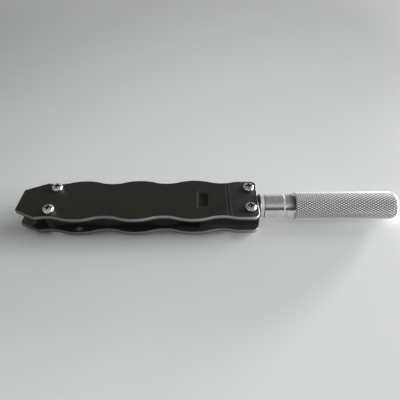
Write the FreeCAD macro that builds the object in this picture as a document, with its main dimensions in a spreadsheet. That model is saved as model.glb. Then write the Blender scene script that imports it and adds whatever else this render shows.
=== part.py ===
import FreeCAD, Part
import math
import os
import Sketcher

V = FreeCAD.Vector

# Two-plate pocket hand tool with a turned, knurled end handle.
# Frame: millimetres, +Z up.  X runs along the tool, nose at -X, knurled handle
# at +X.  The origin is under the middle of the tool, on the surface it rests
# on, so the four nuts stand on Z = 0 and the handle axis is at axis_height.

doc = FreeCAD.newDocument("TwoPlateTool")
sheet = doc.addObject("Spreadsheet::Sheet", "Dims")

# ---------------------------------------------------------------- driving sizes
SIZES = [
    # side plates
    ("plate_thickness", 2.0),
    ("plate_gap", 6.0),
    ("nose_x", -82.9),
    ("nose_half", 6.4),
    ("nose_corner", 1.0),
    ("shoulder_x", -73.17),
    ("shoulder_corner", 0.6),
    ("first_trough_x", -68.44),
    ("scallop_pitch", 25.0),
    ("half_trough", 10.3),
    ("half_crest", 12.3),
    ("trough_radius", 17.3),
    ("tail_half", 11.3),
    ("tail_run", 4.4),
    ("plate_end_x", 21.93),
    ("tail_corner", 2.5),
    ("edge_round", 0.2),
    ("mark_x", -1.62),
    ("mark_y", -0.4),
    ("mark_long", 10.2),
    ("mark_wide", 5.6),
    ("mark_line", 0.45),
    ("mark_depth", 0.2),
    ("scribe_width", 0.24),
    ("scribe_depth", 0.08),
    ("scribe_near_x", 10.4),
    ("scribe_far_x", 9.76),
    ("faint_near_x", 8.68),
    ("faint_far_x", 8.18),
    # fasteners: M2.5 pan head screws and hexagon nuts
    ("screw_diameter", 2.5),
    ("screw_hole", 2.7),
    ("head_diameter", 5.0),
    ("head_height", 2.1),
    ("head_rim", 0.95),
    ("recess_long", 2.9),
    ("recess_wide", 0.85),
    ("recess_depth", 1.25),
    ("nut_flats", 5.0),
    ("nut_height", 2.6),
    ("pivot_x", -67.82),
    ("pivot_y", 6.9),
    ("end_screw_x", 18.38),
    ("end_screw_y", 6.3),
    # pivots of the folding arms
    ("bush_outer", 4.2),
    ("bush_inner", 2.6),
    ("washer_outer", 6.0),
    ("washer_inner", 4.3),
    ("washer_thickness", 0.3),
    ("hub_radius", 3.05),
    ("hub_bore", 4.28),
    ("arm_mid_height", 7.6),
    ("arm_thickness", 5.3),
    ("arm_outer", 2.4),
    ("arm_inner", 6.15),
    ("arm_root_inner", 2.9),
    ("arm_root_x", 7.0),
    ("arm_full_x", 15.0),
    ("arm_length", 61.2),
    ("arm_edge", 0.3),
    # end block
    ("block_start_x", -3.42),
    ("block_end_x", 22.13),
    ("block_half", 9.9),
    ("block_corner", 0.8),
    ("tongue_start_x", -15.22),
    ("tongue_half", 0.45),
    ("window_start_x", 3.28),
    ("window_end_x", 12.28),
    ("window_half", 4.0),
    # swivelling handle
    ("axis_height", 8.0),
    ("journal_diameter", 3.2),
    ("spindle_bush_outer", 4.3),
    ("spindle_bush_inner", 3.3),
    ("thrust_outer", 10.3),
    ("thrust_inner", 3.36),
    ("thrust_thickness", 0.9),
    ("collar_start_x", 23.08),
    ("collar_end_x", 24.78),
    ("collar_diameter", 10.6),
    ("collar_face", 10.3),
    ("collar_lead", 0.15),
    ("core_diameter", 5.0),
    ("core_bore", 5.06),
    ("core_end_x", 58.0),
    ("neck_diameter", 10.4),
    ("neck_end_x", 33.68),
    ("neck_edge", 0.2),
    ("shank_end_x", 37.38),
    ("relief_diameter", 9.0),
    ("grip_start_x", 38.08),
    ("grip_end_x", 82.9),
    ("grip_diameter", 12.2),
    ("grip_round", 3.0),
    ("grip_chamfer", 0.3),
    ("grip_dome", 0.4),
    ("bore_end_x", 60.0),
    ("stud_diameter", 2.0),
    ("stud_start_x", 8.38),
    ("journal_start_x", 12.03),
    ("retainer_outer", 4.8),
    ("retainer_thickness", 0.6),
    ("retainer_nut_flats", 4.0),
    ("retainer_nut_height", 1.6),
]
for row, (name, value) in enumerate(SIZES, start=1):
    sheet.set("A%d" % row, name)
    sheet.set("B%d" % row, repr(value))
    sheet.setAlias("B%d" % row, name)
doc.recompute()


class Q:
    """A size with the spreadsheet formula that gives it."""

    def __init__(self, value, formula):
        self.value = value
        self.formula = formula

    def _two(self, other, sign, flip=False):
        other = other if isinstance(other, Q) else Q(float(other), repr(float(other)))
        a, b = (other, self) if flip else (self, other)
        if sign == "+":
            value = a.value + b.value
        elif sign == "-":
            value = a.value - b.value
        elif sign == "*":
            value = a.value * b.value
        else:
            value = a.value / b.value
        return Q(value, "(%s %s %s)" % (a.formula, sign, b.formula))

    def __add__(self, other):
        return self._two(other, "+")

    __radd__ = __add__

    def __sub__(self, other):
        return self._two(other, "-")

    def __rsub__(self, other):
        return self._two(other, "-", True)

    def __mul__(self, other):
        return self._two(other, "*")

    __rmul__ = __mul__

    def __truediv__(self, other):
        return self._two(other, "/")

    def __neg__(self):
        return Q(-self.value, "(0 - %s)" % self.formula)


def num(x):
    return x.value if isinstance(x, Q) else float(x)


class Sizes:
    pass


D = Sizes()
for name, value in SIZES:
    setattr(D, name, Q(float(sheet.get(name)), "Dims.%s" % name))

z_lower = D.nut_height  # underside of the lower plate
z_gap = D.nut_height + D.plate_thickness  # floor of the gap
z_top_gap = z_gap + D.plate_gap  # ceiling of the gap
z_top = z_top_gap + D.plate_thickness  # upper face of the upper plate


# ---------------------------------------------------------------- helpers
def bind(obj, prop, q):
    if isinstance(q, Q):
        obj.setExpression(prop, q.formula)


def new_body(name, x=0.0, y=0.0, z=0.0):
    b = doc.addObject("PartDesign::Body", name)
    b.Label = name
    b.Placement = FreeCAD.Placement(V(num(x), num(y), num(z)), FreeCAD.Rotation())
    for axis, q in (("x", x), ("y", y), ("z", z)):
        bind(b, ".Placement.Base.%s" % axis, q)
    return b


def new_sketch(b, name, role="XY_Plane", offset=0.0):
    s = b.newObject("Sketcher::SketchObject", name)
    plane = [f for f in b.Origin.OriginFeatures if f.Role == role][0]
    s.AttachmentSupport = [(plane, "")]
    s.MapMode = "FlatFace"
    s.AttachmentOffset = FreeCAD.Placement(V(0, 0, num(offset)), FreeCAD.Rotation())
    bind(s, ".AttachmentOffset.Base.z", offset)
    return s


def constrain(s, kind, refs, q):
    index = s.addConstraint(Sketcher.Constraint(kind, *(list(refs) + [num(q)])))
    if isinstance(q, Q):
        s.setExpression("Constraints[%d]" % index, q.formula)


def pin_point(s, geo, pos, x, y):
    if abs(num(x)) < 1e-9:
        s.addConstraint(Sketcher.Constraint("PointOnObject", geo, pos, -2))
    else:
        constrain(s, "DistanceX", (-1, 1, geo, pos), x)
    if abs(num(y)) < 1e-9:
        s.addConstraint(Sketcher.Constraint("PointOnObject", geo, pos, -1))
    else:
        constrain(s, "DistanceY", (-1, 1, geo, pos), y)


def circle(s, x, y, diameter):
    g = s.addGeometry(Part.Circle(V(num(x), num(y), 0), V(0, 0, 1), num(diameter) / 2.0), False)
    constrain(s, "Diameter", (g,), diameter)
    if abs(num(x)) < 1e-9 and abs(num(y)) < 1e-9:
        s.addConstraint(Sketcher.Constraint("Coincident", g, 3, -1, 1))
    else:
        pin_point(s, g, 3, x, y)
    return g


def outline(s, points):
    """Closed outline.  Each entry is (x, y, radius, turn): radius None makes a
    straight edge to the next entry, otherwise an arc that turns left (+1) or
    right (-1) on its way to the next entry."""
    n = len(points)
    geo = []
    for i, (x, y, radius, turn) in enumerate(points):
        x2, y2 = points[(i + 1) % n][0], points[(i + 1) % n][1]
        a, b = V(num(x), num(y), 0), V(num(x2), num(y2), 0)
        if radius is None:
            geo.append((s.addGeometry(Part.LineSegment(a, b), False), 1, 2))
            continue
        r = num(radius)
        chord = b - a
        half = chord.Length / 2.0
        rise = math.sqrt(max(r * r - half * half, 0.0))
        left = V(-chord.y, chord.x, 0).normalize()
        centre = (a + b) * 0.5 + left * (rise * turn)
        start = math.atan2(a.y - centre.y, a.x - centre.x)
        end = math.atan2(b.y - centre.y, b.x - centre.x)
        ring = Part.Circle(centre, V(0, 0, 1), r)
        if turn > 0:
            while end < start:
                end += 2 * math.pi
            geo.append((s.addGeometry(Part.ArcOfCircle(ring, start, end), False), 1, 2))
        else:
            while start < end:
                start += 2 * math.pi
            geo.append((s.addGeometry(Part.ArcOfCircle(ring, end, start), False), 2, 1))
    for i in range(n):
        g, first, last = geo[i]
        g2, first2, last2 = geo[(i + 1) % n]
        s.addConstraint(Sketcher.Constraint("Coincident", g, last, g2, first2))
    for i, (x, y, radius, turn) in enumerate(points):
        g, first, last = geo[i]
        pin_point(s, g, first, x, y)
        if radius is not None:
            constrain(s, "Radius", (g,), radius)


def corners(s, points):
    outline(s, [(x, y, None, 0) for x, y in points])


def pad(b, name, s, length, reverse=False, both=False):
    f = b.newObject("PartDesign::Pad", name)
    f.Profile = s
    f.Length = num(length)
    bind(f, "Length", length)
    f.Reversed = reverse
    if both:
        f.SideType = "Symmetric"
    doc.recompute()
    return f


def pocket(b, name, s, length, reverse=False, through=False, both=False):
    before = b.Shape.Volume
    f = b.newObject("PartDesign::Pocket", name)
    f.Profile = s
    if through:
        f.Type = "ThroughAll"
    else:
        f.Length = num(length)
        bind(f, "Length", length)
    f.Reversed = reverse
    if both:
        f.SideType = "Symmetric"
    doc.recompute()
    if b.Shape.Volume >= before - 1e-6:
        raise RuntimeError("%s cuts nothing" % name)
    return f


def revolve(b, name, s, axis="H_Axis", cut=False):
    before = b.Shape.Volume if cut else 0.0
    f = b.newObject("PartDesign::Groove" if cut else "PartDesign::Revolution", name)
    f.Profile = s
    f.ReferenceAxis = (s, [axis])
    f.Angle = 360.0
    doc.recompute()
    if cut and b.Shape.Volume >= before - 1e-6:
        raise RuntimeError("%s cuts nothing" % name)
    return f


def edges_where(shape, test):
    return ["Edge%d" % (i + 1) for i, e in enumerate(shape.Edges) if test(e)]


def dress(b, kind, name, base, edges, prop, size):
    f = b.newObject("PartDesign::" + kind, name)
    f.Base = (base, edges)
    setattr(f, prop, num(size))
    bind(f, prop, size)
    doc.recompute()
    return f


def ring_body(name, x, y, z, height, outer, inner):
    b = new_body(name, x, y, z)
    s = new_sketch(b, name + "_profile")
    circle(s, 0, 0, outer)
    circle(s, 0, 0, inner)
    pad(b, name + "_pad", s, height)
    return b


def group(label, members):
    """Identical pieces share one node, as separate solids."""
    g = doc.addObject("Part::Compound", label)
    g.Label = label
    g.Links = members
    return g


keep = []

# ---------------------------------------------------------------- side plates
# Scallops: arcs of trough_radius and a crest radius meet tangentially.
pitch = D.scallop_pitch.value
rise = D.half_crest.value - D.half_trough.value
bend = 2.0 * math.atan2(rise, pitch / 2.0)
crest_radius = pitch / 2.0 / math.sin(bend) - D.trough_radius.value
run = D.trough_radius.value * math.sin(bend)
join_half = D.half_trough.value + D.trough_radius.value * (1 - math.cos(bend))
tail_bend = math.asin(D.tail_run.value / D.trough_radius.value)
tail_join = D.half_trough.value + D.trough_radius.value * (1 - math.cos(tail_bend))
tail_radius = (D.tail_half.value - tail_join) / (1 - math.cos(tail_bend))
tail_flat = tail_radius * math.sin(tail_bend)
shoulder_run = D.first_trough_x.value - D.shoulder_x.value
shoulder_half = (D.half_trough.value + D.trough_radius.value
                 - math.sqrt(D.trough_radius.value ** 2 - shoulder_run ** 2))
slope = math.atan2(shoulder_half - D.nose_half.value, D.shoulder_x.value - D.nose_x.value)
# distance from the sharp nose corner to where its small rounding begins
nose_cut = D.nose_corner.value * math.tan((math.pi / 2 - slope) / 2.0)
# small rounding of the shoulder: tangent to the nose chamfer and to the scallop
corner_r = D.shoulder_corner.value
along = V(math.cos(slope), math.sin(slope), 0)
inward = V(math.sin(slope), -math.cos(slope), 0)
scallop_centre = V(D.first_trough_x.value, D.half_trough.value + D.trough_radius.value, 0)
start = V(D.nose_x.value, D.nose_half.value, 0) + inward * corner_r
gap_v = start - scallop_centre
b_half = gap_v.dot(along)
c_term = gap_v.dot(gap_v) - (D.trough_radius.value + corner_r) ** 2
travel = -b_half - math.sqrt(b_half * b_half - c_term)
corner_centre = start + along * travel
on_line = corner_centre - inward * corner_r
on_arc = scallop_centre + (corner_centre - scallop_centre) * (
    D.trough_radius.value / (D.trough_radius.value + corner_r))
DERIVED = [
    ("shoulder_line_x", on_line.x),
    ("shoulder_line_y", on_line.y),
    ("shoulder_arc_x", on_arc.x),
    ("shoulder_arc_y", on_arc.y),
    ("crest_radius", crest_radius),
    ("scallop_run", run),
    ("join_half", join_half),
    ("tail_join", tail_join),
    ("tail_radius", tail_radius),
    ("tail_flat", tail_flat),
    ("shoulder_half", shoulder_half),
    ("nose_cut", nose_cut),
    ("nose_cut_x", nose_cut * math.cos(slope)),
    ("nose_cut_y", nose_cut * math.sin(slope)),
]
for row, (name, value) in enumerate(DERIVED, start=len(SIZES) + 2):
    sheet.set("A%d" % row, name)
    sheet.set("B%d" % row, "%.9f" % value)
    sheet.setAlias("B%d" % row, name)
doc.recompute()
for name, value in DERIVED:
    setattr(D, name, Q(float(sheet.get(name)), "Dims.%s" % name))


def plate_outline():
    """Counter-clockwise, starting at the nose on the -Y side."""
    side = [(D.nose_x, D.nose_half - D.nose_cut, D.nose_corner, 1),
            (D.nose_x + D.nose_cut_x, D.nose_half + D.nose_cut_y, None, 0),
            (D.shoulder_line_x, D.shoulder_line_y, D.shoulder_corner, 1),
            (D.shoulder_arc_x, D.shoulder_arc_y, D.trough_radius, -1)]
    for i in range(3):
        t = D.first_trough_x + D.scallop_pitch * float(i)
        side.append((t + D.scallop_run, D.join_half, D.crest_radius, 1))
        side.append((t + D.scallop_pitch - D.scallop_run, D.join_half, D.trough_radius, -1))
    last = D.first_trough_x + D.scallop_pitch * 3.0
    side.append((last + D.tail_run, D.tail_join, D.tail_radius, 1))
    side.append((last + D.tail_run + D.tail_flat, D.tail_half, None, 0))
    side.append((D.plate_end_x - D.tail_corner, D.tail_half, D.tail_corner, 1))
    side.append((D.plate_end_x, D.tail_half - D.tail_corner, None, 0))
    lower = [(x, -y, r, t) for x, y, r, t in side]
    upper = []
    n = len(side)
    for i in range(n - 1, -1, -1):
        x, y, r, t = side[i]
        # the edge that follows this corner on the way back is the one before it
        if i > 0:
            pr, pt = side[i - 1][2], side[i - 1][3]
        else:
            pr, pt = None, 0
        upper.append((x, y, pr, pt))
    return lower + upper


def side_plate(name, z0):
    b = new_body(name, 0, 0, z0)
    s = new_sketch(b, name + "_outline")
    outline(s, plate_outline())
    blank = pad(b, name + "_blank", s, D.plate_thickness)
    rim = edges_where(blank.Shape, lambda e: e.BoundBox.ZLength < 1e-6)
    dress(b, "Fillet", name + "_rounded_edge", blank, rim, "Radius", D.edge_round)
    s = new_sketch(b, name + "_holes")
    for x, y in ((D.pivot_x, D.pivot_y), (D.end_screw_x, D.end_screw_y)):
        circle(s, x, y, D.screw_hole)
        circle(s, x, -y, D.screw_hole)
    pocket(b, name + "_screw_holes", s, D.plate_thickness, reverse=True)
    return b


lower_plate = side_plate("lower_side_plate", z_lower)
upper_plate = side_plate("upper_side_plate", z_top_gap)

# blank maker's panel: a plain sunk rectangle inside a thin sunk frame line
half_w, half_l = D.mark_wide / 2.0, D.mark_long / 2.0
s = new_sketch(upper_plate, "panel_frame", "XY_Plane", D.plate_thickness)
corners(s, [(D.mark_x - half_w, D.mark_y - half_l), (D.mark_x + half_w, D.mark_y - half_l),
            (D.mark_x + half_w, D.mark_y + half_l), (D.mark_x - half_w, D.mark_y + half_l)])
inner_w, inner_l = half_w - D.mark_line, half_l - D.mark_line
corners(s, [(D.mark_x - inner_w, D.mark_y - inner_l), (D.mark_x + inner_w, D.mark_y - inner_l),
            (D.mark_x + inner_w, D.mark_y + inner_l), (D.mark_x - inner_w, D.mark_y + inner_l)])
pocket(upper_plate, "panel_frame_cut", s, D.mark_depth)
core_w, core_l = half_w - D.mark_line * 2.6, half_l - D.mark_line * 3.4
s = new_sketch(upper_plate, "panel_core", "XY_Plane", D.plate_thickness)
corners(s, [(D.mark_x - core_w, D.mark_y - core_l), (D.mark_x + core_w, D.mark_y - core_l),
            (D.mark_x + core_w, D.mark_y + core_l), (D.mark_x - core_w, D.mark_y + core_l)])
pocket(upper_plate, "panel_core_cut", s, D.mark_depth * 1.25)

# two fine lines scribed across the upper face, slightly out of square
reach = D.half_trough - 0.15
for tag, near, far in (("scribe", D.scribe_near_x, D.scribe_far_x),
                       ("faint_scribe", D.faint_near_x, D.faint_far_x)):
    s = new_sketch(upper_plate, tag + "_line", "XY_Plane", D.plate_thickness)
    corners(s, [(near - D.scribe_width / 2.0, -reach), (near + D.scribe_width / 2.0, -reach),
                (far + D.scribe_width / 2.0, reach), (far - D.scribe_width / 2.0, reach)])
    pocket(upper_plate, tag + "_cut", s,
           D.scribe_depth if tag == "scribe" else D.scribe_depth * 0.6)
keep += [upper_plate, lower_plate]


# ---------------------------------------------------------------- screws and nuts
def pan_screw(name, x, y):
    """Pan head screw, head down to the plate, shank to the underside of the nut."""
    b = new_body(name, x, y, z_top)
    s = new_sketch(b, name + "_profile", "XZ_Plane")
    r_head, r_shank = D.head_diameter / 2.0, D.screw_diameter / 2.0
    tip = -(z_top)
    top_half = D.head_diameter * 0.24
    # crown: an arc from the rim up to the flat top
    dx = (r_head - top_half).value
    dz = (D.head_height - D.head_rim).value
    crown = (dx * dx + dz * dz) / (2.0 * dz)
    outline(s, [(0.0, tip, None, 0), (r_shank - 0.3, tip, None, 0), (r_shank, tip + 0.3, None, 0),
                (r_shank, 0.0, None, 0), (r_head - 0.12, 0.0, None, 0),
                (r_head, Q(0.12, "0.12"), None, 0), (r_head, D.head_rim, crown, 1),
                (top_half, D.head_height, None, 0), (0.0, D.head_height, None, 0)])
    revolve(b, name + "_turned", s, "V_Axis")
    s = new_sketch(b, name + "_recess", "XY_Plane", D.head_height)
    a, w = D.recess_long / 2.0, D.recess_wide / 2.0
    corners(s, [(-a, -w), (-w, -w), (-w, -a), (w, -a), (w, -w), (a, -w), (a, w), (w, w),
                (w, a), (-w, a), (-w, w), (-a, w)])
    p = pocket(b, name + "_cross", s, D.recess_depth)
    p.TaperAngle = -12.0
    doc.recompute()
    return b


def hex_nut(name, x, y, z, flats, height, bore, role="XY_Plane"):
    b = new_body(name, x, y, z)
    s = new_sketch(b, name + "_hexagon", role)
    half = flats / 2.0
    far = flats * (1.0 / math.sqrt(3.0))
    mid = flats * (0.5 / math.sqrt(3.0))
    corners(s, [(far, 0.0), (mid, half), (-mid, half), (-far, 0.0), (-mid, -half), (mid, -half)])
    pad(b, name + "_pad", s, height)
    s = new_sketch(b, name + "_thread", role)
    circle(s, 0, 0, bore)
    pocket(b, name + "_bore", s, height, reverse=True)
    # 30 degree corner chamfers on both faces
    s = new_sketch(b, name + "_chamfers", "XZ_Plane")
    r_in, r_out = half * 0.985, flats * 0.62
    drop = (r_out - r_in) * math.tan(math.radians(30.0))
    if role == "XY_Plane":
        corners(s, [(r_in, -0.01), (r_out, -0.01), (r_out, drop), (r_in, Q(0.0001, "0.0001"))])
        corners(s, [(r_in, height - 0.0001), (r_out, height - drop), (r_out, height + 0.01),
                    (r_in, height + 0.01)])
        revolve(b, name + "_corner_chamfers", s, "V_Axis", cut=True)
    else:
        corners(s, [(-0.01, r_in), (Q(0.0001, "0.0001"), r_in), (drop, r_out), (-0.01, r_out)])
        corners(s, [(height - 0.0001, r_in), (height + 0.01, r_in), (height + 0.01, r_out),
                    (height - drop, r_out)])
        revolve(b, name + "_corner_chamfers", s, "H_Axis", cut=True)
    return b


def fastener_pair(kind, x, y):
    screws = [pan_screw(kind + "_screw_front", x, -y), pan_screw(kind + "_screw_rear", x, y)]
    nuts = [hex_nut(kind + "_nut_front", x, -y, 0.0, D.nut_flats, D.nut_height, D.screw_diameter),
            hex_nut(kind + "_nut_rear", x, y, 0.0, D.nut_flats, D.nut_height, D.screw_diameter)]
    return [group(kind + "_screws", screws), group(kind + "_nuts", nuts)]


keep += fastener_pair("pivot", D.pivot_x, D.pivot_y)
keep += fastener_pair("end_block", D.end_screw_x, D.end_screw_y)

# ---------------------------------------------------------------- arm pivots
bushes, low_washers, high_washers = [], [], []
for side, y in (("front", -D.pivot_y), ("rear", D.pivot_y)):
    bushes.append(ring_body("pivot_bush_" + side, D.pivot_x, y, z_gap, D.plate_gap,
                            D.bush_outer, D.bush_inner))
    low_washers.append(ring_body("lower_washer_" + side, D.pivot_x, y, z_gap,
                                 D.washer_thickness, D.washer_outer, D.washer_inner))
    high_washers.append(ring_body("upper_washer_" + side, D.pivot_x, y,
                                  z_top_gap - D.washer_thickness,
                                  D.washer_thickness, D.washer_outer, D.washer_inner))
keep += [group("pivot_bushes", bushes), group("lower_pivot_washers", low_washers),
         group("upper_pivot_washers", high_washers)]


# ---------------------------------------------------------------- folding arms
def folding_arm(name, side, tip):
    """Arm folded into the gap.  Its own origin is on its pivot; the outer edge
    faces away from the tool's centre line."""
    b = new_body(name, D.pivot_x, D.pivot_y * side, D.arm_mid_height)
    k = float(-side)  # sign that turns "towards the centre line" into local Y
    t = D.arm_thickness
    s = new_sketch(b, name + "_bar_profile", "XY_Plane")
    pts = [(Q(0.0, "0.0"), -D.arm_outer), (D.arm_length - 6.0, -D.arm_outer)]
    pts += tip
    pts += [(D.arm_full_x, D.arm_inner), (D.arm_root_x, D.arm_root_inner),
            (Q(0.0, "0.0"), D.arm_root_inner - 0.2)]
    pts = [(x, y * k if isinstance(y, Q) else y * k) for x, y in pts]
    if k < 0:
        pts = pts[::-1]
    corners(s, pts)
    bar = pad(b, name + "_bar", s, t, both=True)
    long_edges = edges_where(bar.Shape, lambda e: e.BoundBox.ZLength < 1e-6
                             and e.BoundBox.XMin > 1.0)
    dress(b, "Chamfer", name + "_broken_edges", bar, long_edges, "Size", D.arm_edge)
    s = new_sketch(b, name + "_hub_profile", "XY_Plane")
    circle(s, 0, 0, D.hub_radius * 2.0)
    pad(b, name + "_hub", s, t, both=True)
    s = new_sketch(b, name + "_bore_profile", "XY_Plane")
    circle(s, 0, 0, D.hub_bore)
    pocket(b, name + "_bore", s, t * 1.5, both=True)
    return b


chisel = [(D.arm_length, -D.arm_outer + 2.0), (D.arm_length, D.arm_inner - 1.2),
          (D.arm_length - 1.2, D.arm_inner)]
point = [(D.arm_length - 0.6, D.arm_inner - 2.2), (D.arm_length, D.arm_inner - 1.2),
         (D.arm_length - 1.2, D.arm_inner)]
front_arm = folding_arm("front_folding_arm", -1.0, chisel)
rear_arm = folding_arm("rear_folding_arm", 1.0, point)
keep += [front_arm, rear_arm]

# ---------------------------------------------------------------- end block
block = new_body("end_block", 0, 0, z_gap)
s = new_sketch(block, "block_profile")
corners(s, [(D.block_start_x, -D.block_half), (D.block_end_x, -D.block_half),
            (D.block_end_x, D.block_half), (D.block_start_x, D.block_half),
            (D.block_start_x, D.tongue_half), (D.tongue_start_x, D.tongue_half),
            (D.tongue_start_x, -D.tongue_half), (D.block_start_x, -D.tongue_half)])
solid = pad(block, "block_blank", s, D.plate_gap)
end_corners = edges_where(solid.Shape, lambda e: e.BoundBox.ZLength > 1.0
                          and e.BoundBox.XMin > D.block_end_x.value - 0.01)
dress(block, "Fillet", "block_round_corners", solid, end_corners, "Radius", D.block_corner)
s = new_sketch(block, "block_window_profile")
corners(s, [(D.window_start_x, -D.window_half), (D.window_end_x, -D.window_half),
            (D.window_end_x, D.window_half), (D.window_start_x, D.window_half)])
pocket(block, "block_window", s, D.plate_gap, reverse=True)
s = new_sketch(block, "block_screw_profile")
circle(s, D.end_screw_x, D.end_screw_y, D.screw_hole)
circle(s, D.end_screw_x, -D.end_screw_y, D.screw_hole)
pocket(block, "block_screw_holes", s, D.plate_gap, reverse=True)
s = new_sketch(block, "block_bore_profile", "YZ_Plane", D.window_end_x - 1.0)
circle(s, 0, D.axis_height - z_gap, D.spindle_bush_outer)
pocket(block, "block_bore", s, D.block_end_x - D.window_end_x + 3.0, reverse=True)
keep.append(block)


# ---------------------------------------------------------------- turned parts
def turned(name, points):
    """Part turned about the handle axis from an (x, r) profile."""
    b = new_body(name, 0, 0, D.axis_height)
    s = new_sketch(b, name + "_profile", "XZ_Plane")
    outline(s, [p if len(p) == 4 else (p[0], p[1], None, 0) for p in points])
    revolve(b, name + "_turned", s, "H_Axis")
    return b


bush_r, bush_i = D.spindle_bush_outer / 2.0, D.spindle_bush_inner / 2.0
keep.append(turned("spindle_bush", [
    (D.window_end_x, bush_i), (D.block_end_x, bush_i), (D.block_end_x, bush_r),
    (D.window_end_x, bush_r)]))
keep.append(turned("thrust_washer", [
    (D.block_end_x, D.thrust_inner / 2.0),
    (D.block_end_x + D.thrust_thickness, D.thrust_inner / 2.0),
    (D.block_end_x + D.thrust_thickness, D.thrust_outer / 2.0 - 0.2),
    (D.block_end_x + D.thrust_thickness - 0.2, D.thrust_outer / 2.0),
    (D.block_end_x + 0.2, D.thrust_outer / 2.0),
    (D.block_end_x, D.thrust_outer / 2.0 - 0.2)]))

# spindle: threaded stud, journal, shoulder and the long core inside the handle
journal_r, core_r, stud_r = D.journal_diameter / 2.0, D.core_diameter / 2.0, D.stud_diameter / 2.0
keep.append(turned("spindle", [
    (D.stud_start_x, 0.0), (D.core_end_x, 0.0), (D.core_end_x, core_r - 0.5),
    (D.core_end_x - 0.5, core_r), (D.collar_start_x, core_r), (D.collar_start_x, journal_r),
    (D.journal_start_x, journal_r), (D.journal_start_x, stud_r),
    (D.stud_start_x + 0.3, stud_r), (D.stud_start_x, stud_r - 0.3)]))

bore_r = D.core_bore / 2.0
collar_r = D.collar_diameter / 2.0
keep.append(turned("collar_ring", [
    (D.collar_start_x, bore_r), (D.collar_end_x, bore_r), (D.collar_end_x, collar_r - 0.2),
    (D.collar_end_x - 0.2, collar_r), (D.collar_start_x + D.collar_lead, collar_r),
    (D.collar_start_x, D.collar_face / 2.0)]))

neck_r = D.neck_diameter / 2.0
keep.append(turned("neck_sleeve", [
    (D.collar_end_x, bore_r), (D.neck_end_x, bore_r), (D.neck_end_x, neck_r - D.neck_edge),
    (D.neck_end_x - D.neck_edge, neck_r), (D.collar_end_x + D.neck_edge, neck_r),
    (D.collar_end_x, neck_r - D.neck_edge)]))

# knurled handle: plain shank, relief groove, then the grip with a rounded end
grip_r, relief_r = D.grip_diameter / 2.0, D.relief_diameter / 2.0
flat_r = grip_r - D.grip_round
dome = D.grip_dome.value
dome_radius = (flat_r.value ** 2 + dome ** 2) / (2.0 * dome)
keep.append(turned("knurled_handle", [
    (D.neck_end_x, core_r), (D.bore_end_x, core_r), (D.bore_end_x, 0.0),
    (D.grip_end_x, 0.0, dome_radius, 1), (D.grip_end_x - D.grip_dome, flat_r, D.grip_round, 1),
    (D.grip_end_x - D.grip_dome - D.grip_round, grip_r),
    (D.grip_start_x + D.grip_chamfer, grip_r), (D.grip_start_x, grip_r - D.grip_chamfer),
    (D.grip_start_x, relief_r), (D.shank_end_x, relief_r), (D.shank_end_x, neck_r),
    (D.neck_end_x + D.neck_edge, neck_r), (D.neck_end_x, neck_r - D.neck_edge)]))

# washer and nut that hold the spindle in the end block's window
wash_x = D.journal_start_x - D.retainer_thickness
keep.append(turned("retaining_washer", [
    (wash_x, stud_r), (D.journal_start_x, stud_r),
    (D.journal_start_x, D.retainer_outer / 2.0), (wash_x, D.retainer_outer / 2.0)]))
keep.append(hex_nut("retaining_nut", wash_x - D.retainer_nut_height, 0.0, D.axis_height,
                    D.retainer_nut_flats, D.retainer_nut_height, D.stud_diameter, "YZ_Plane"))

# ---------------------------------------------------------------- checks and export
doc.recompute()
for obj in doc.Objects:
    if "Invalid" in obj.State or "Error" in obj.State:
        raise RuntimeError("%s failed: %s" % (obj.Label, obj.State))

os.makedirs("parts", exist_ok=True)
for obj in keep:
    shape = obj.Shape
    if shape.isNull() or not shape.isValid():
        raise RuntimeError("%s has no valid shape" % obj.Label)
    shape.exportStep("parts/%s.step" % obj.Label)
    box = shape.BoundBox
    print("%-22s solids %d  X %8.2f..%8.2f  Y %7.2f..%7.2f  Z %6.2f..%6.2f  V %9.2f" % (
        obj.Label, len(shape.Solids), box.XMin, box.XMax, box.YMin, box.YMax,
        box.ZMin, box.ZMax, shape.Volume))
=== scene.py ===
import math

import bmesh
import bpy
import numpy as np
from mathutils import Matrix, Vector


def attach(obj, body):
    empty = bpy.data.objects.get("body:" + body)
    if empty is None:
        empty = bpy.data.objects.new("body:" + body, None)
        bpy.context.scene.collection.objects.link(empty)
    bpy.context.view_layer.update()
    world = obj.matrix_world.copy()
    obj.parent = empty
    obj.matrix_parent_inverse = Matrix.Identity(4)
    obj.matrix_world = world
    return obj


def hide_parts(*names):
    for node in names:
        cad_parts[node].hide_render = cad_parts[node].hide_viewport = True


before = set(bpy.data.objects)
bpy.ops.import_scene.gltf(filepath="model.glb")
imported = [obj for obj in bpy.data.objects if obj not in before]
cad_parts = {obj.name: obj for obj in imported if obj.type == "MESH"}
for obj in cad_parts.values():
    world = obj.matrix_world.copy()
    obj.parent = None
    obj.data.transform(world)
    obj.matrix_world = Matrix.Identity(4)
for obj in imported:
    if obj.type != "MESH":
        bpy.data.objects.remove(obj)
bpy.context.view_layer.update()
scene = bpy.context.scene
MM = 0.001
AXIS_Z = 8.0  # height of the handle's axis, mm


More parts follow.
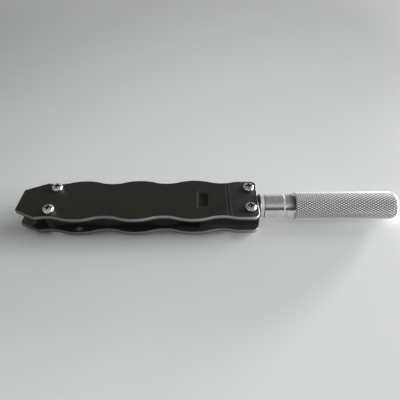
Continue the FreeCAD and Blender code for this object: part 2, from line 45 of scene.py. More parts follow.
# ------------------------------------------------------------------ camera
def make_camera():
    """Looks down on the tool from the front, slightly turned and rolled."""
    th, yaw, roll = (math.radians(a) for a in (43.45, -1.63, -1.44))
    dist, lift = 165.32, 3.05
    right = Vector((1, 0, 0))
    up = Vector((0, math.sin(th), math.cos(th)))
    back = Vector((0, -math.cos(th), math.sin(th)))
    r = right * math.cos(roll) + up * math.sin(roll)
    u = -right * math.sin(roll) + up * math.cos(roll)
    pos = Vector((0, lift * math.sin(th) - dist * math.cos(th),
                  lift * math.cos(th) + dist * math.sin(th)))

    def turn(v):
        return Vector((math.cos(yaw) * v.x + math.sin(yaw) * v.y,
                       -math.sin(yaw) * v.x + math.cos(yaw) * v.y, v.z))

    r, u, back, pos = turn(r), turn(u), turn(back), turn(pos)
    pos = (pos + Vector((-3.22, 0.0, 7.6))) * MM
    cam = bpy.data.cameras.new("camera")
    cam.sensor_width = 36.0
    cam.lens = 369.83 / 400.0 * 36.0
    cam.clip_start, cam.clip_end = 0.005, 10.0
    obj = bpy.data.objects.new("camera", cam)
    obj.matrix_world = Matrix(((r.x, u.x, back.x, pos.x), (r.y, u.y, back.y, pos.y),
                               (r.z, u.z, back.z, pos.z), (0, 0, 0, 1)))
    scene.collection.objects.link(obj)
    scene.camera = obj
    return obj


make_camera()


# ------------------------------------------------------------------ node helpers
class Nodes:
    def __init__(self, name):
        self.mat = bpy.data.materials.new(name)
        self.mat.use_nodes = True
        self.tree = self.mat.node_tree
        self.bsdf = self.tree.nodes["Principled BSDF"]
        self.coord = self.tree.nodes.new("ShaderNodeTexCoord")

    def add(self, kind, **props):
        n = self.tree.nodes.new(kind)
        for k, v in props.items():
            setattr(n, k, v)
        return n

    def link(self, a, b):
        self.tree.links.new(a, b)

    def mapped(self, scale=(1000, 1000, 1000), rotation=(0, 0, 0)):
        """Object coordinates in millimetres, optionally stretched."""
        m = self.add("ShaderNodeMapping")
        m.inputs["Scale"].default_value = scale
        m.inputs["Rotation"].default_value = rotation
        self.link(self.coord.outputs["Object"], m.inputs["Vector"])
        return m.outputs["Vector"]

    def noise(self, scale, detail=3.0, rough=0.5, stretch=(1, 1, 1), rotation=(0, 0, 0), dist=0.0):
        n = self.add("ShaderNodeTexNoise")
        n.inputs["Scale"].default_value = scale
        n.inputs["Detail"].default_value = detail
        n.inputs["Roughness"].default_value = rough
        n.inputs["Distortion"].default_value = dist
        self.link(self.mapped(tuple(1000.0 * s for s in stretch), rotation), n.inputs["Vector"])
        return n.outputs["Fac"]

    def ramp(self, fac, stops, interp="LINEAR"):
        r = self.add("ShaderNodeValToRGB")
        r.color_ramp.interpolation = interp
        els = r.color_ramp.elements
        while len(els) > len(stops):
            els.remove(els[-1])
        while len(els) < len(stops):
            els.new(1.0)
        for e, (p, c) in zip(els, stops):
            e.position = p
            e.color = (c, c, c, 1) if isinstance(c, (int, float)) else (*c, 1)
        self.link(fac, r.inputs["Fac"])
        return r.outputs["Color"]

    def math(self, op, a, b=None, clamp=False):
        n = self.add("ShaderNodeMath", operation=op, use_clamp=clamp)
        for i, v in enumerate((a, b)):
            if v is None:
                continue
            if isinstance(v, (int, float)):
                n.inputs[i].default_value = v
            else:
                self.link(v, n.inputs[i])
        return n.outputs[0]

    def mix(self, fac, a, b, blend="MIX"):
        n = self.add("ShaderNodeMix", data_type="RGBA", blend_type=blend)
        for i, v in ((0, fac), (6, a), (7, b)):
            sock = n.inputs[i]
            if isinstance(v, (int, float)):
                sock.default_value = v if i == 0 else (v, v, v, 1)
            elif isinstance(v, tuple):
                sock.default_value = (*v, 1)
            else:
                self.link(v, sock)
        return n.outputs[2]

    def axis(self, source, which):
        s = self.add("ShaderNodeSeparateXYZ")
        self.link(source, s.inputs[0])
        return s.outputs[which]

    def bump(self, height, strength, distance):
        b = self.add("ShaderNodeBump")
        b.inputs["Strength"].default_value = strength
        b.inputs["Distance"].default_value = distance
        self.link(height, b.inputs["Height"])
        return b

    def set(self, **values):
        for k, v in values.items():
            sock = self.bsdf.inputs[k.replace("_", " ")]
            if isinstance(v, (int, float)):
                sock.default_value = v
            elif isinstance(v, tuple):
                sock.default_value = (*v, 1)
            else:
                self.link(v, sock)


# ------------------------------------------------------------------ materials
def plate_material(name, bare_light_level=1.0, marked=True, lower_wall_level=0.22):
    """Blackened sheet: satin dark faces, and sheared edges of bare metal.

    The wall is darker towards its lower face.  The bare metal gets brighter
    towards the handle, with a painted highlight on the rim there; the lower
    plate's copy has painted shade on its darker bare edges.
    """
    n = Nodes(name)
    up_z = n.axis(n.coord.outputs["Normal"], "Z")
    normal_z = n.math("ABSOLUTE", up_z)
    wander = n.noise(0.9, 4.0, 0.6)
    # 0 on the flat faces, 1 on the rounded edge and the wall
    edge = n.math("SUBTRACT", 0.93, normal_z)
    edge = n.math("ADD", edge, n.math("MULTIPLY", n.math("SUBTRACT", wander, 0.5), 0.22))
    edge = n.math("MULTIPLY", edge, 7.0, clamp=True)
    place = n.mapped()
    x, y, z = (n.axis(place, k) for k in ("X", "Y", "Z"))
    # painted highlight: the rim at the handle's end is drawn as bare metal and made extra bright below
    painted_rim_highlight = n.math("MULTIPLY", n.math("SUBTRACT", x, 21.5), 6.0, clamp=True)
    edge = n.math("MAXIMUM", edge, painted_rim_highlight)
    # beyond the scribed line the face is a little lighter
    beyond = n.math("MULTIPLY", n.math("SUBTRACT", x, 9.8), 0.9, clamp=True)
    mottle = n.noise(0.16, 5.0, 0.62)
    face = n.ramp(mottle, [(0.25, (0.0078, 0.0078, 0.0028)), (0.75, (0.0124, 0.0122, 0.0054))])
    face = n.mix(beyond, face, (0.0225, 0.0238, 0.0215))
    grain = n.noise(1.0, 6.0, 0.7, stretch=(0.35, 9.0, 9.0))
    face = n.mix(n.math("MULTIPLY", grain, 0.16), face, (0.031, 0.031, 0.021))
    # fine handling scratches at three angles
    scratch = None
    for angle, stretch in ((0.35, (0.05, 6.0, 1.0)), (-0.9, (0.06, 7.5, 1.0)), (1.7, (0.05, 9.0, 1.0))):
        s = n.noise(1.0, 2.0, 0.4, stretch=stretch, rotation=(0, 0, angle))
        s = n.ramp(s, [(0.70, 0.0), (0.76, 1.0)])
        scratch = s if scratch is None else n.math("MAXIMUM", scratch, s)
    face = n.mix(n.math("MULTIPLY", scratch, 0.20), face, (0.10, 0.10, 0.09))
    sheen = 0.34
    if marked:
        # bright bottoms of the two scribed lines and of the blank panel's outline
        for base, lean, level in ((10.08, -0.0285, 0.42), (8.43, -0.0223, 0.32)):
            line = n.math("SUBTRACT", x, n.math("ADD", base, n.math("MULTIPLY", y, lean)))
            line = n.math("MULTIPLY", n.math("SUBTRACT", 0.24, n.math("ABSOLUTE", line)), 9.0, clamp=True)
            face = n.mix(n.math("MULTIPLY", line, level), face, (0.17, 0.17, 0.16))
        dx = n.math("ABSOLUTE", n.math("SUBTRACT", x, -1.62))
        dy = n.math("ABSOLUTE", n.math("SUBTRACT", y, -0.4))
        # distance inside the panel's outline, 5.6 by 10.2 mm
        depth = n.math("MINIMUM", n.math("SUBTRACT", 2.8, dx), n.math("SUBTRACT", 5.1, dy))
        frame_line = n.math("MULTIPLY", n.math("GREATER_THAN", depth, 0.0),
                            n.math("LESS_THAN", depth, 0.45))
        left = n.math("LESS_THAN", x, -3.9)
        face = n.mix(n.math("MULTIPLY", frame_line, n.math("ADD", 0.16, n.math("MULTIPLY", left, 0.72))),
                     face, (0.19, 0.19, 0.18))
        core = n.math("MULTIPLY", n.math("GREATER_THAN", depth, 0.8), 0.92)
        tooth = n.ramp(n.noise(1.3, 3.0, 0.7), [(0.50, 0.0), (0.62, 1.0)])
        sheen = n.math("SUBTRACT", 0.34, n.math("MULTIPLY", core, 0.24))
        face = n.mix(core, face, n.mix(tooth, (0.0030, 0.0030, 0.0026), (0.024, 0.026, 0.023)))
    else:
        # the inner face is greyer, most of all around the end block
        inner = n.math("MULTIPLY", n.math("ADD", x, 16.0), 0.10, clamp=True)
        inner = n.math("ADD", 0.12, n.math("MULTIPLY", inner, 0.50))
        face = n.mix(inner, face, (0.056, 0.062, 0.057))
        # painted reflections: the open nose is tinted brown, and two light grey spots are painted, one at
        # the nose and one beyond the hub
        painted_nose_reflection = n.math("MULTIPLY", n.math("SUBTRACT", -76.2, x), 0.8, clamp=True)
        painted_nose_reflection = n.math("MULTIPLY", painted_nose_reflection, n.math("GREATER_THAN", up_z, 0.5))
        face = n.mix(n.math("MULTIPLY", painted_nose_reflection, 0.90), face, (0.085, 0.082, 0.048))
        for cx, cy, size, level in ((-55.73, -10.21, 1.7, 0.90), (-77.05, -6.34, 1.45, 0.92)):
            dx, dy = n.math("SUBTRACT", x, cx), n.math("SUBTRACT", y, cy)
            away = n.math("SQRT", n.math("ADD", n.math("MULTIPLY", dx, dx), n.math("MULTIPLY", dy, dy)))
            away = n.math("ADD", away, n.math("MULTIPLY", wander, 0.9))
            painted_spot = n.math("MULTIPLY", n.math("SUBTRACT", size + 0.45, away), 1.4, clamp=True)
            face = n.mix(n.math("MULTIPLY", painted_spot, level), face, (0.150, 0.160, 0.135))
    bare = n.ramp(n.noise(1.0, 5.0, 0.65, stretch=(0.5, 0.5, 6.0)),
                  [(0.25, (0.30, 0.30, 0.275)), (0.75, (0.46, 0.46, 0.43))])
    # along the plate, from the nose at -83 to the handle's end at 22
    place_x = n.math("MULTIPLY", n.math("ADD", x, 83.0), 1.0 / 105.0, clamp=True)
    # brighter towards the handle; the last stop, at the rim, is a painted highlight
    bare_gain_painted_rim = n.ramp(place_x, [(0.0, 0.62 * bare_light_level), (0.35, 0.72 * bare_light_level), (0.55, 1.0 * bare_light_level),
                              (0.95, 1.05 * bare_light_level), (0.985, 1.65 * bare_light_level)])
    # painted shade: the rim's far half is darkened
    rear = n.math("MULTIPLY", painted_rim_highlight, n.math("MULTIPLY", n.math("ADD", y, 2.5), 0.25, clamp=True))
    bare_gain_painted_rim = n.mix(n.math("MULTIPLY", rear, 0.70), bare_gain_painted_rim, (0.10, 0.10, 0.10))
    # height in the sheet: 0 at its lower face, 1 at its upper face
    level = n.math("MULTIPLY", n.math("MODULO", n.math("ADD", z, 5.4), 8.0), 0.5)
    # the wall darkens towards its lower face
    lower_wall_darkening = n.ramp(level, [(0.22, lower_wall_level), (0.50, 0.92), (0.62, 1.0)])
    bare = n.mix(1.0, n.mix(1.0, bare, bare_gain_painted_rim, "MULTIPLY"), lower_wall_darkening, "MULTIPLY")
    n.set(Base_Color=n.mix(edge, face, bare), Metallic=n.math("MULTIPLY", edge, 0.9),
          Specular_IOR_Level=sheen)
    rough_face = n.math("ADD", 0.36, n.math("MULTIPLY", grain, 0.16))
    rough = n.add("ShaderNodeMix", data_type="FLOAT")
    n.link(edge, rough.inputs[0])
    n.link(rough_face, rough.inputs[2])
    rough.inputs[3].default_value = 0.42
    n.link(rough.outputs[0], n.bsdf.inputs["Roughness"])
    b = n.bump(n.noise(3.0, 5.0, 0.7, stretch=(0.4, 1.6, 1.6)), 0.25, 0.00004)
    n.link(b.outputs[0], n.bsdf.inputs["Normal"])
    return n.mat


def screw_material(name, low, high, centres, recess=1.25):
    """Nickelled head, with painted shade darkening the cross recess about each centre (x, y), mm."""
    n = Nodes(name)
    place = n.mapped()
    x, y = n.axis(place, "X"), n.axis(place, "Y")
    near = None
    for cx, cy in centres:
        dx, dy = n.math("SUBTRACT", x, cx), n.math("SUBTRACT", y, cy)
        d = n.math("SQRT", n.math("ADD", n.math("MULTIPLY", dx, dx), n.math("MULTIPLY", dy, dy)))
        near = d if near is None else n.math("MINIMUM", near, d)
    normal_z = n.axis(n.coord.outputs["Normal"], "Z")
    steep = n.math("MULTIPLY", n.math("SUBTRACT", 0.80, normal_z), 6.0, clamp=True)
    # painted shade: darker inside the recess and at its centre
    inside = n.math("MULTIPLY", n.math("SUBTRACT", recess, near), 5.0, clamp=True)
    deep = n.math("MULTIPLY", n.math("SUBTRACT", 0.62, near), 6.0, clamp=True)
    recess_painted_shade = n.math("MAXIMUM", n.math("MULTIPLY", steep, inside), deep)
    cloud = n.noise(0.9, 4.0, 0.6)
    fine = n.noise(2.2, 5.0, 0.65)
    color = n.ramp(cloud, [(0.3, low), (0.7, high)])
    color = n.mix(recess_painted_shade, color, (0.03, 0.03, 0.025))
    n.set(Base_Color=color, Metallic=1.0)
    n.link(n.math("ADD", 0.09, n.math("MULTIPLY", fine, 0.10)), n.bsdf.inputs["Roughness"])
    b = n.bump(fine, 0.12, 0.00002)
    n.link(b.outputs[0], n.bsdf.inputs["Normal"])
    return n.mat


def dark_metal(name, low, high, rough=(0.30, 0.46), metallic=0.0, stretch=(0.3, 4, 4), bump=0.2,
               worn=None, specular=0.5, seam=None):
    n = Nodes(name)
    cloud = n.noise(0.35, 4.0, 0.6)
    line = n.noise(1.2, 5.0, 0.65, stretch=stretch)
    color = n.ramp(cloud, [(0.3, low), (0.7, high)])
    if worn:
        spots = n.ramp(n.noise(1.4, 4.0, 0.7, stretch=(1, 1, 1)), [(0.62, 0.0), (0.74, 1.0)])
        color = n.mix(n.math("MULTIPLY", spots, 0.55), color, worn)
    if seam is not None:
        # painted light: greyer towards the lower plate to lift the shade there, and a painted highlight on
        # the block's corner at this x
        painted_low_light = n.math("MULTIPLY", n.math("SUBTRACT", 7.2, n.axis(n.mapped(), "Z")), 0.40, clamp=True)
        color = n.mix(n.math("MULTIPLY", painted_low_light, 0.85), color, (0.050, 0.056, 0.058))
        painted_corner_highlight = n.math("MULTIPLY", n.math("SUBTRACT", seam, n.axis(n.mapped(), "X")), 5.0, clamp=True)
        color = n.mix(painted_corner_highlight, color, (0.115, 0.125, 0.115))
    n.set(Base_Color=color, Metallic=metallic, Specular_IOR_Level=specular)
    n.link(n.math("ADD", rough[0], n.math("MULTIPLY", line, rough[1] - rough[0])),
           n.bsdf.inputs["Roughness"])
    b = n.bump(line, bump, 0.00003)
    n.link(b.outputs[0], n.bsdf.inputs["Normal"])
    return n.mat


def bright_metal(name, low, high, rough=(0.12, 0.24), scale=2.2, stretch=(1, 1, 1), bump=0.12,
                 distance=0.00002):
    n = Nodes(name)
    cloud = n.noise(scale * 0.35, 4.0, 0.6)
    fine = n.noise(scale, 5.0, 0.65, stretch=stretch)
    n.set(Base_Color=n.ramp(cloud, [(0.3, low), (0.7, high)]), Metallic=1.0)
    n.link(n.math("ADD", rough[0], n.math("MULTIPLY", fine, rough[1] - rough[0])),
           n.bsdf.inputs["Roughness"])
    b = n.bump(fine, bump, distance)
    n.link(b.outputs[0], n.bsdf.inputs["Normal"])
    return n.mat


def neck_material(name, low, high, metallic=1.0, rough=0.12, painted_top_band_shade=0.0):
    """Polished turned metal with fine tool rings about the handle's axis.

    Dirt sits in the joint at 24.8 mm, a painted highlight draws a bright line at
    33.3 mm, and painted shade darkens the upper side towards the relief groove at 37.4 mm.
    """
    n = Nodes(name)
    rings = n.noise(1.0, 4.0, 0.75, stretch=(9.0, 0.12, 0.12))
    cloud = n.noise(0.5, 3.0, 0.5)
    x = n.axis(n.mapped(), "X")
    color = n.ramp(cloud, [(0.3, low), (0.7, high)])
    streak = n.ramp(n.noise(1.0, 3.0, 0.6, stretch=(3.2, 0.25, 0.25)), [(0.35, 0.80), (0.65, 1.0)])
    color = n.mix(1.0, color, streak, "MULTIPLY")
    joint = n.math("MULTIPLY", n.math("SUBTRACT", 0.26, n.math(
        "ABSOLUTE", n.math("SUBTRACT", x, 24.80))), 12.0, clamp=True)
    color = n.mix(joint, color, (0.10, 0.10, 0.095))
    # painted highlight: a bright ring at 33.35 mm
    line = n.math("MULTIPLY", n.math("SUBTRACT", 0.34, n.math(
        "ABSOLUTE", n.math("SUBTRACT", x, 33.35))), 8.0, clamp=True)
    color = n.mix(line, color, (0.98, 0.98, 0.97))
    # painted shade and dark reflection: the upper side darkens towards the relief groove
    painted_top_shade = n.math("MULTIPLY", n.math("SUBTRACT", n.axis(n.coord.outputs["Normal"], "Z"), 0.22),
                   5.0, clamp=True)
    end = n.ramp(n.math("MULTIPLY", n.math("SUBTRACT", x, 34.2), 1.0 / 3.4, clamp=True),
                 [(0.0, 0.0), (0.35, 0.25), (0.7, 0.62), (1.0, 0.88)])
    color = n.mix(n.math("MULTIPLY", painted_top_shade, end), color, (0.04, 0.04, 0.036))
    if painted_top_band_shade:
        # painted shade: a darker band along the top of the ring
        lean = n.math("ABSOLUTE", n.math("SUBTRACT", n.axis(n.coord.outputs["Normal"], "Y"), 0.14))
        band = n.math("MULTIPLY", n.math("SUBTRACT", 0.46, lean), 3.2, clamp=True)
        band = n.math("MULTIPLY", band, n.math("GREATER_THAN", n.axis(n.coord.outputs["Normal"], "Z"), 0.5))
        color = n.mix(n.math("MULTIPLY", band, painted_top_band_shade), color, (0.16, 0.16, 0.155))
    n.set(Base_Color=color, Metallic=n.math("SUBTRACT", metallic, n.math("MULTIPLY", line, 0.45)))
    dull = n.math("ADD", n.math("MULTIPLY", joint, 0.35), n.math("MULTIPLY", line, 0.20))
    n.link(n.math("ADD", dull, n.math("ADD", rough, n.math("MULTIPLY", rings, 0.12))),
           n.bsdf.inputs["Roughness"])
    b = n.bump(rings, 0.35, 0.00003)
    n.link(b.outputs[0], n.bsdf.inputs["Normal"])
    return n.mat


def knurl_material():
    """Aluminium: burnished crests, duller and darker in the grooves.

    The radius about the handle's axis (8 mm above the floor) tells them apart.
    """
    n = Nodes("knurl_aluminium")
    place = n.mapped()
    up = n.math("SUBTRACT", n.axis(place, "Z"), AXIS_Z)
    across = n.axis(place, "Y")
    along = n.axis(place, "X")
    radius = n.math("SQRT", n.math("ADD", n.math("MULTIPLY", up, up),
                                   n.math("MULTIPLY", across, across)))
    height = n.math("MULTIPLY", n.math("SUBTRACT", radius, 5.76), 1.0 / 0.34, clamp=True)
    in_knurl = n.math("MULTIPLY", n.math("GREATER_THAN", along, 38.1),
                      n.math("LESS_THAN", along, 81.3))
    groove = n.math("MULTIPLY", n.math("SUBTRACT", 1.0, height), in_knurl, clamp=True)
    cloud = n.noise(0.5, 4.0, 0.6)
    fine = n.noise(5.0, 4.0, 0.7)
    bright = n.ramp(cloud, [(0.3, (0.95, 0.965, 0.93)), (0.7, (0.985, 1.0, 0.965))])
    shade = n.ramp(groove, [(0.52, 1.0), (0.66, 0.12), (0.86, 0.0)])
    n.set(Base_Color=n.mix(1.0, bright, shade, "MULTIPLY"), Metallic=0.22)
    rough = n.math("ADD", n.math("ADD", 0.20, n.math("MULTIPLY", fine, 0.12)),
                   n.math("MULTIPLY", groove, 0.25))
    n.link(rough, n.bsdf.inputs["Roughness"])
    b = n.bump(fine, 0.15, 0.00002)
    n.link(b.outputs[0], n.bsdf.inputs["Normal"])
    return n.mat


def floor_material():
    """Plain pale sheet, with painted light falloff: darker away from the middle."""
    n = Nodes("floor_paper")
    soft = n.noise(0.02, 3.0, 0.5)
    fine = n.noise(1.2, 4.0, 0.6)
    color = n.ramp(soft, [(0.2, (0.630, 0.646, 0.641)), (0.8, (0.650, 0.666, 0.661))])
    place = n.mapped((10, 10, 10))  # units of 100 mm
    x, y = n.axis(place, "X"), n.axis(place, "Y")
    # log of the painted brightness over the sheet, standing in for light falloff, as a low polynomial in x
    # and y
    level = None
    for factor, px, py in ((0.1229, 0, 0), (-0.0845, 1, 0), (-0.1184, 0, 1), (-0.1260, 2, 0),
                           (0.0472, 1, 1), (-0.0359, 0, 2), (-0.0051, 3, 0), (0.0081, 0, 3),
                           (0.0299, 2, 1), (-0.0118, 1, 2)):
        term = None
        for v in [x] * px + [y] * py:
            term = v if term is None else n.math("MULTIPLY", term, v)
        term = factor if term is None else n.math("MULTIPLY", term, factor)
        level = term if level is None else n.math("ADD", level, term)
    level = n.math("MAXIMUM", n.math("MINIMUM", level, 0.32), -0.45)
    painted_light_falloff = n.math("EXPONENT", level)
    n.set(Base_Color=n.mix(1.0, color, painted_light_falloff, "MULTIPLY"))
    n.bsdf.inputs["Roughness"].default_value = 0.55
    b = n.bump(fine, 0.05, 0.00002)
    n.link(b.outputs[0], n.bsdf.inputs["Normal"])
    return n.mat


MATS = {
    "upper_side_plate": plate_material("upper_plate_blackened"),
    # painted shade: the lower plate is a darker copy, its bare edges dimmed for the shade near the floor
    "lower_side_plate": plate_material("lower_plate_blackened", 0.66, False, 0.74),
    "end_block": dark_metal("block_black", (0.0030, 0.0036, 0.0038), (0.0060, 0.0068, 0.0070),
                            stretch=(4, 4, 0.4), specular=0.16, seam=-14.0),
    "front_folding_arm": dark_metal("arm_blackened", (0.005, 0.006, 0.0065), (0.010, 0.012, 0.013),
                                    rough=(0.26, 0.42), metallic=0.1, worn=(0.05, 0.055, 0.055),
                                    specular=0.18),
    "pivot_screws": screw_material("pivot_screw_nickel", (0.80, 0.81, 0.76), (0.96, 0.97, 0.92),
                                   ((-67.82, -6.9), (-67.82, 6.9))),
    "end_block_screws": screw_material("block_screw_nickel", (0.58, 0.59, 0.55), (0.78, 0.79, 0.74),
                                       ((18.38, -6.3), (18.38, 6.3))),
    "pivot_nuts": bright_metal("nut_zinc", (0.66, 0.60, 0.52), (0.84, 0.78, 0.70),
                               rough=(0.26, 0.42), bump=0.25),
    "pivot_bushes": bright_metal("bearing_ground", (0.42, 0.42, 0.43), (0.55, 0.55, 0.56),
                                 rough=(0.18, 0.3), stretch=(1, 1, 6)),
    "spindle_bush": bright_metal("bronze_plain", (0.50, 0.33, 0.15), (0.62, 0.44, 0.22),
                                 rough=(0.3, 0.45), stretch=(8, 1, 1)),
    "thrust_washer": dark_metal("nylon_black", (0.008, 0.008, 0.009), (0.014, 0.014, 0.016),
                                rough=(0.45, 0.6), stretch=(1, 1, 1)),
    "neck_sleeve": neck_material("neck_turned", (0.84, 0.825, 0.80), (0.97, 0.96, 0.94)),
    "collar_ring": neck_material("collar_satin", (0.90, 0.90, 0.88), (0.98, 0.98, 0.97), 0.35, 0.26, 0.42),
}
SAME = {
    "rear_folding_arm": "front_folding_arm",
    "end_block_nuts": "pivot_nuts",
    "retaining_nut": "pivot_nuts",
    "retaining_washer": "pivot_bushes",
    "spindle": "pivot_bushes",
    "lower_pivot_washers": "thrust_washer",
    "upper_pivot_washers": "thrust_washer",
}
for node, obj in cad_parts.items():
    mat = MATS.get(node) or MATS.get(SAME.get(node, ""))
    if mat is None:
        continue
    if not obj.material_slots:
        obj.data.materials.append(mat)
    for slot in obj.material_slots:
        slot.material = mat


# ------------------------------------------------------------------ knurled handle
def knurled_handle():
    """Diamond knurl cut as two families of V grooves at 30 degrees, 1 mm apart.

    The mesh rows and columns fall on the knurl's own lattice, so every groove
    runs along mesh edges.  The rounded end and the front chamfer cut it off.
    """
    starts, lead = 34, 1.93
    crest, depth, flat = 6.1, 0.34, 0.16
    x_neck, x_relief, x0, x_end = 33.68, 37.38, 38.08, 82.9
    shank, relief = 5.2, 4.5
    dome, fillet = 0.4, 3.0
    chamfer = 0.3
    cols = starts * 8
    theta = np.arange(cols) * 2.0 * math.pi / cols
    phase_shift = 0.0

    def groove(phase):
        t = np.abs(phase - np.floor(phase) - 0.5) * 2.0
        return np.clip((t - flat) / (1.0 - flat), 0.0, 1.0)

    def knurl_radius(x):
        a = starts * theta / (2 * math.pi)
        p1 = a + (x - x0) / lead + phase_shift
        p2 = a - (x - x0) / lead + phase_shift
        return crest - depth * np.maximum(groove(p1), groove(p2))

    rings = []  # (x, radius per column)

    def plain(x, r):
        rings.append((x, np.full(cols, r)))

    # front face, plain shank and the relief before the knurl
    for r in (2.5, 3.4, 4.2, shank - 0.2):
        plain(x_neck, r)
    plain(x_neck + 0.06, shank - 0.12)
    plain(x_neck + 0.2, shank)
    for x in (34.6, 35.3, 36.0, 36.7, 37.2):
        plain(x, shank)
    plain(x_relief - 0.05, shank - 0.03)
    plain(x_relief, shank - 0.12)
    plain(x_relief, relief + 0.1)
    plain(x_relief + 0.05, relief)
    for x in (37.6, 37.8, 38.0):
        plain(x, relief)
    plain(x0, relief + 0.05)
    plain(x0, 5.1)
    plain(x0, 5.6)
    shank_rings = len(rings) - 1
    # chamfer and knurled length
    body_end = x_end - dome - fillet
    step = lead / 8.0
    rows = [x0 + 0.06, x0 + 0.15]
    count = int(round((body_end - x0) / step))
    rows += [x0 + step * i for i in range(1, count + 1)]
    for x in rows:
        limit = crest if x > x0 + chamfer else crest - chamfer + (x - x0)
        rings.append((x, np.minimum(knurl_radius(x), limit)))
    cx, cr = body_end, crest - fillet
    for i in range(1, 25):
        a = math.radians(90.0 * i / 24)
        x = cx + fillet * math.sin(a)
        r = cr + fillet * math.cos(a)
        rings.append((x, np.minimum(knurl_radius(x), r)))
    big = (cr * cr + dome * dome) / (2 * dome)
    for r in (3.4, 2.8, 2.1, 1.4, 0.7):
        plain(x_end - big + math.sqrt(big * big - r * r), r)

    verts = []
    for x, radii in rings:
        for t, r in zip(theta, radii):
            verts.append((x * MM, -math.cos(t) * r * MM, (AXIS_Z + math.sin(t) * r) * MM))
    tip = len(verts)
    verts.append((x_end * MM, 0.0, AXIS_Z * MM))
    # inside wall and bottom of the bore
    bore_a = len(verts)
    for t in theta:
        verts.append((60.0 * MM, -math.cos(t) * 2.5 * MM, (AXIS_Z + math.sin(t) * 2.5) * MM))
    bore_tip = len(verts)
    verts.append((60.0 * MM, 0.0, AXIS_Z * MM))

    faces = []
    turned = []  # whether each face is part of the plain turned shank
    a_phase = starts * theta / (2 * math.pi)
    for i in range(len(rings) - 1):
        xm = (rings[i][0] + rings[i + 1][0]) / 2
        knurled = rings[i][0] >= x0 + 0.05 and rings[i + 1][0] <= body_end + 1.4
        for j in range(cols):
            k = (j + 1) % cols
            a, b, c, d = i * cols + j, i * cols + k, (i + 1) * cols + k, (i + 1) * cols + j
            if not knurled:
                faces.append((a, b, c, d))
                turned.append(i < shank_rings)
                continue
            am = a_phase[j] + 0.5 * starts / cols
            p1, p2 = am + (xm - x0) / lead + phase_shift, am - (xm - x0) / lead + phase_shift
            t1 = abs(p1 - math.floor(p1) - 0.5)
            t2 = abs(p2 - math.floor(p2) - 0.5)
            if t1 > t2:  # family 1 runs towards smaller angle as x grows
                faces += [(a, b, d), (b, c, d)]
            else:
                faces += [(a, b, c), (a, c, d)]
            turned += [False, False]
    last = (len(rings) - 1) * cols
    for j in range(cols):
        k = (j + 1) % cols
        faces.append((last + j, last + k, tip))
        faces.append((k, j, bore_a + j, bore_a + k))
        faces.append((bore_a + k, bore_a + j, bore_tip))
        turned += [False, True, True]
    mesh = bpy.data.meshes.new("knurled_grip")
    mesh.from_pydata(verts, [], faces)
    mesh.validate()
    mesh.update()
    bm = bmesh.new()
    bm.from_mesh(mesh)
    bmesh.ops.recalc_face_normals(bm, faces=bm.faces)
    bm.faces.ensure_lookup_table()
    for f, plain_face in zip(bm.faces, turned):
        f.smooth = True
        f.material_index = 1 if plain_face else 0
    for e in bm.edges:
        if len(e.link_faces) == 2 and e.calc_face_angle(0.0) > math.radians(24):
            e.smooth = False
    bm.to_mesh(mesh)
    bm.free()
    obj = bpy.data.objects.new("knurled_grip", mesh)
    scene.collection.objects.link(obj)
    obj.data.materials.append(knurl_material())
    obj.data.materials.append(MATS["neck_sleeve"])
    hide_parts("knurled_handle")
    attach(obj, "handle")
    return obj


knurled_handle()


# ------------------------------------------------------------------ floor, light
def make_floor():
    mesh = bpy.data.meshes.new("floor")
    bm = bmesh.new()
    bmesh.ops.create_grid(bm, x_segments=8, y_segments=8, size=3.0)
    bm.to_mesh(mesh)
    bm.free()
    obj = bpy.data.objects.new("floor", mesh)
    scene.collection.objects.link(obj)
    obj.data.materials.append(floor_material())


def area_light(name, location, target, size, energy, color=(1, 1, 1)):
    data = bpy.data.lights.new(name, "AREA")
    data.shape = "RECTANGLE"
    data.size = size
    data.size_y = size
    data.energy = energy
    data.color = color
    obj = bpy.data.objects.new(name, data)
    obj.location = location
    direction = Vector(target) - Vector(location)
    obj.rotation_mode = "QUATERNION"
    obj.rotation_quaternion = direction.to_track_quat("-Z", "Y")
    scene.collection.objects.link(obj)
    return obj


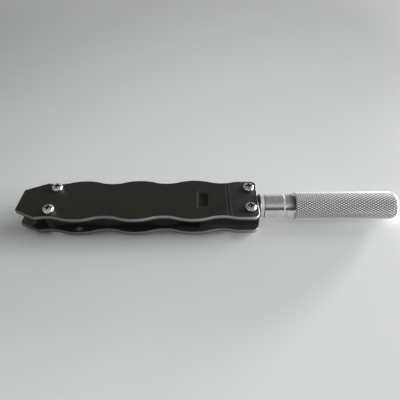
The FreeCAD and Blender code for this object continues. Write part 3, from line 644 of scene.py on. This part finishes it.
def make_world():
    world = bpy.data.worlds.new("studio")
    world.use_nodes = True
    t = world.node_tree
    bg = t.nodes["Background"]
    coord = t.nodes.new("ShaderNodeTexCoord")
    sep = t.nodes.new("ShaderNodeSeparateXYZ")
    t.links.new(coord.outputs["Generated"], sep.inputs[0])
    ramp = t.nodes.new("ShaderNodeValToRGB")
    # from the near side (0) over to the far side (1)
    half = t.nodes.new("ShaderNodeMath")
    half.operation = "MULTIPLY_ADD"
    half.inputs[1].default_value = 0.5
    half.inputs[2].default_value = 0.5
    t.links.new(sep.outputs["Y"], half.inputs[0])
    t.links.new(half.outputs[0], ramp.inputs["Fac"])
    # brightness against the direction's Y: near side, overhead, far side
    stops = [(-1.0, 0.05), (-0.93, 0.07), (-0.83, 0.40), (-0.70, 0.56), (-0.55, 0.44),
             (-0.34, 0.26), (0.30, 0.25), (0.80, 0.26), (0.90, 0.40), (0.97, 0.60), (1.0, 0.65)]
    els = ramp.color_ramp.elements
    while len(els) < len(stops):
        els.new(1.0)
    for e, (y, v) in zip(els, stops):
        e.position = (y + 1.0) / 2.0
        e.color = (v, v, v * 1.01, 1)
    t.links.new(ramp.outputs["Color"], bg.inputs["Color"])
    bg.inputs["Strength"].default_value = 1.0
    scene.world = world


make_floor()
make_world()
# name, place, aim, size, watts, colour
LIGHTS = [
    ("low_right", (1.494, 0.000, 0.131), (0.0, 0.0, 0.0), 0.35, 32.40, (1.0, 1.0, 1.0)),
    ("low_far_right", (1.145, 0.961, 0.131), (0.0, 0.0, 0.0), 0.35, 37.95, (1.0, 1.0, 1.0)),
    ("key_right", (1.395, 0.297, 0.464), (0.0, 0.0, 0.0), 0.45, 3.99, (1.0, 1.0, 1.0)),
    ("high_right", (1.295, 0.275, 0.704), (0.0, 0.0, 0.0), 0.50, 4.38, (1.0, 1.0, 1.0)),
    ("high_far_right", (1.200, 0.560, 0.704), (0.0, 0.0, 0.0), 0.50, 2.71, (1.0, 1.0, 1.0)),
    ("fill_near_right", (0.722, -0.127, 0.156), (0.0, 0.0, 0.0), 0.22, 2.60, (1.0, 1.0, 1.0)),
]
for light in LIGHTS:
    area_light(*light)

scene.view_settings.view_transform = "Standard"
scene.view_settings.look = "None"
